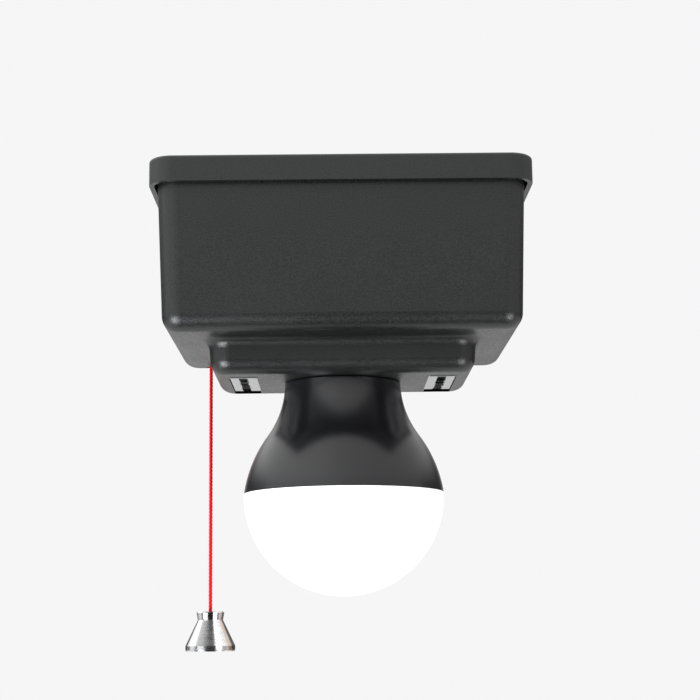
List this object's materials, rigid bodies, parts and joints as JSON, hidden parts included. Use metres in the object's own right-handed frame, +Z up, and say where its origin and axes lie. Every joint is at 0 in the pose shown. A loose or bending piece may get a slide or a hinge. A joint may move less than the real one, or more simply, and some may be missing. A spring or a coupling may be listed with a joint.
{
  "type": "battery ceiling light with pull cord switch",
  "caption": "Rectangular battery ceiling light with an opal dome lamp and a pull-cord switch: a red cord with a turned bell pull hangs beside the lamp.",
  "frame": {"origin": "centre of the ceiling plate's top face, which lies against the ceiling", "axes": "+Z up out of the ceiling plate's top face, X along the long side, -Y the front; the cord is at the left of the back (-X, +Y)"},
  "size_m": [0.116, 0.085, 0.1472],
  "materials": {
    "charcoal_plastic": "fine spark-eroded grain",
    "lamp_plastic": "satin",
    "black_plastic": "plain moulded",
    "nylon": "natural nylon",
    "opal": "translucent opal",
    "label": "printed foil",
    "spring_steel": "bright",
    "screw_steel": "zinc plated",
    "contact_plate": "nickel plated",
    "cell_can": "printed wrap",
    "circuit_board": "solder mask",
    "light_board": "white solder mask",
    "components": "moulded packages",
    "light_chip": "phosphor",
    "heat_plate": "stamped",
    "brass": "bright",
    "wire": "insulated",
    "red_cord": "twisted cord",
    "turned_aluminium": "bright turned"
  },
  "bodies": {
    "ceiling": {"ceiling_plate": "charcoal_plastic", "grip_clips": "spring_steel", "clip_rivets": "screw_steel"},
    "housing": {"housing_shell": "charcoal_plastic", "cord_bush": "black_plastic", "label_left": "label", "label_right": "label", "battery_tray": "black_plastic", "cell_1": "cell_can", "cell_2": "cell_can", "cell_3": "cell_can", "contact_springs": "spring_steel", "contact_plates": "contact_plate", "tray_screws": "screw_steel", "driver_board": "circuit_board", "driver_components": "components", "board_screws": "screw_steel", "lamp_body": "lamp_plastic", "lamp_ring_nut": "black_plastic", "heat_plate": "heat_plate", "led_board": "light_board", "led_chips": "light_chip", "led_screws": "screw_steel", "diffuser_dome": "opal", "lamp_wires": "wire", "battery_wires": "wire", "switch_wires": "wire", "switch_case": "black_plastic", "switch_cover": "black_plastic", "switch_screws": "screw_steel", "fixed_contacts": "brass", "rotor_shaft": "screw_steel"},
    "slider": {"pull_slider": "nylon", "inner_cord": "red_cord", "upper_knot": "red_cord", "return_spring": "spring_steel"},
    "lever": {"drive_lever": "nylon"},
    "rotor": {"ratchet_rotor": "nylon", "contact_bridge": "brass"},
    "swivel": {"swivel_knot": "brass"},
    "pull": {"pull_cord": "red_cord", "pull_knot": "red_cord", "pull_weight": "turned_aluminium"}
  },
  "joints": [
    {"name": "housing_release", "type": "slide", "parent": "ceiling", "child": "housing", "axis": [0, 0, -1], "range_m": [0, 0.04]},
    {"name": "cord_pull", "type": "slide", "parent": "housing", "child": "slider", "axis": [0, 0, -1], "range_m": [0, 0.008], "stiffness_N_per_m": 400, "springref_m": -0.003, "deforming": ["return_spring"]},
    {"name": "lever_turn", "type": "hinge", "parent": "housing", "child": "lever", "pos_m": [-0.03405, 0.0327, -0.03], "axis": [0, -1, 0], "range_deg": [0, 45]},
    {"name": "rotor_turn", "type": "hinge", "parent": "housing", "child": "rotor", "pos_m": [-0.03405, 0.0327, -0.03], "axis": [0, -1, 0], "range_deg": [0, 45]},
    {"name": "swing_x", "type": "hinge", "parent": "slider", "child": "swivel", "pos_m": [-0.0445, 0.0334, -0.0509], "axis": [1, 0, 0], "range_deg": [-12, 25]},
    {"name": "swing_y", "type": "hinge", "parent": "swivel", "child": "pull", "pos_m": [-0.0445, 0.0334, -0.0509], "axis": [0, 1, 0], "range_deg": [-12, 25]}
  ],
  "couplings": [
    {"joint": "lever_turn", "follows": "cord_pull", "rad_per_m": 98.17},
    {"joint": "rotor_turn", "follows": "cord_pull", "rad_per_m": 98.17}
  ]
}
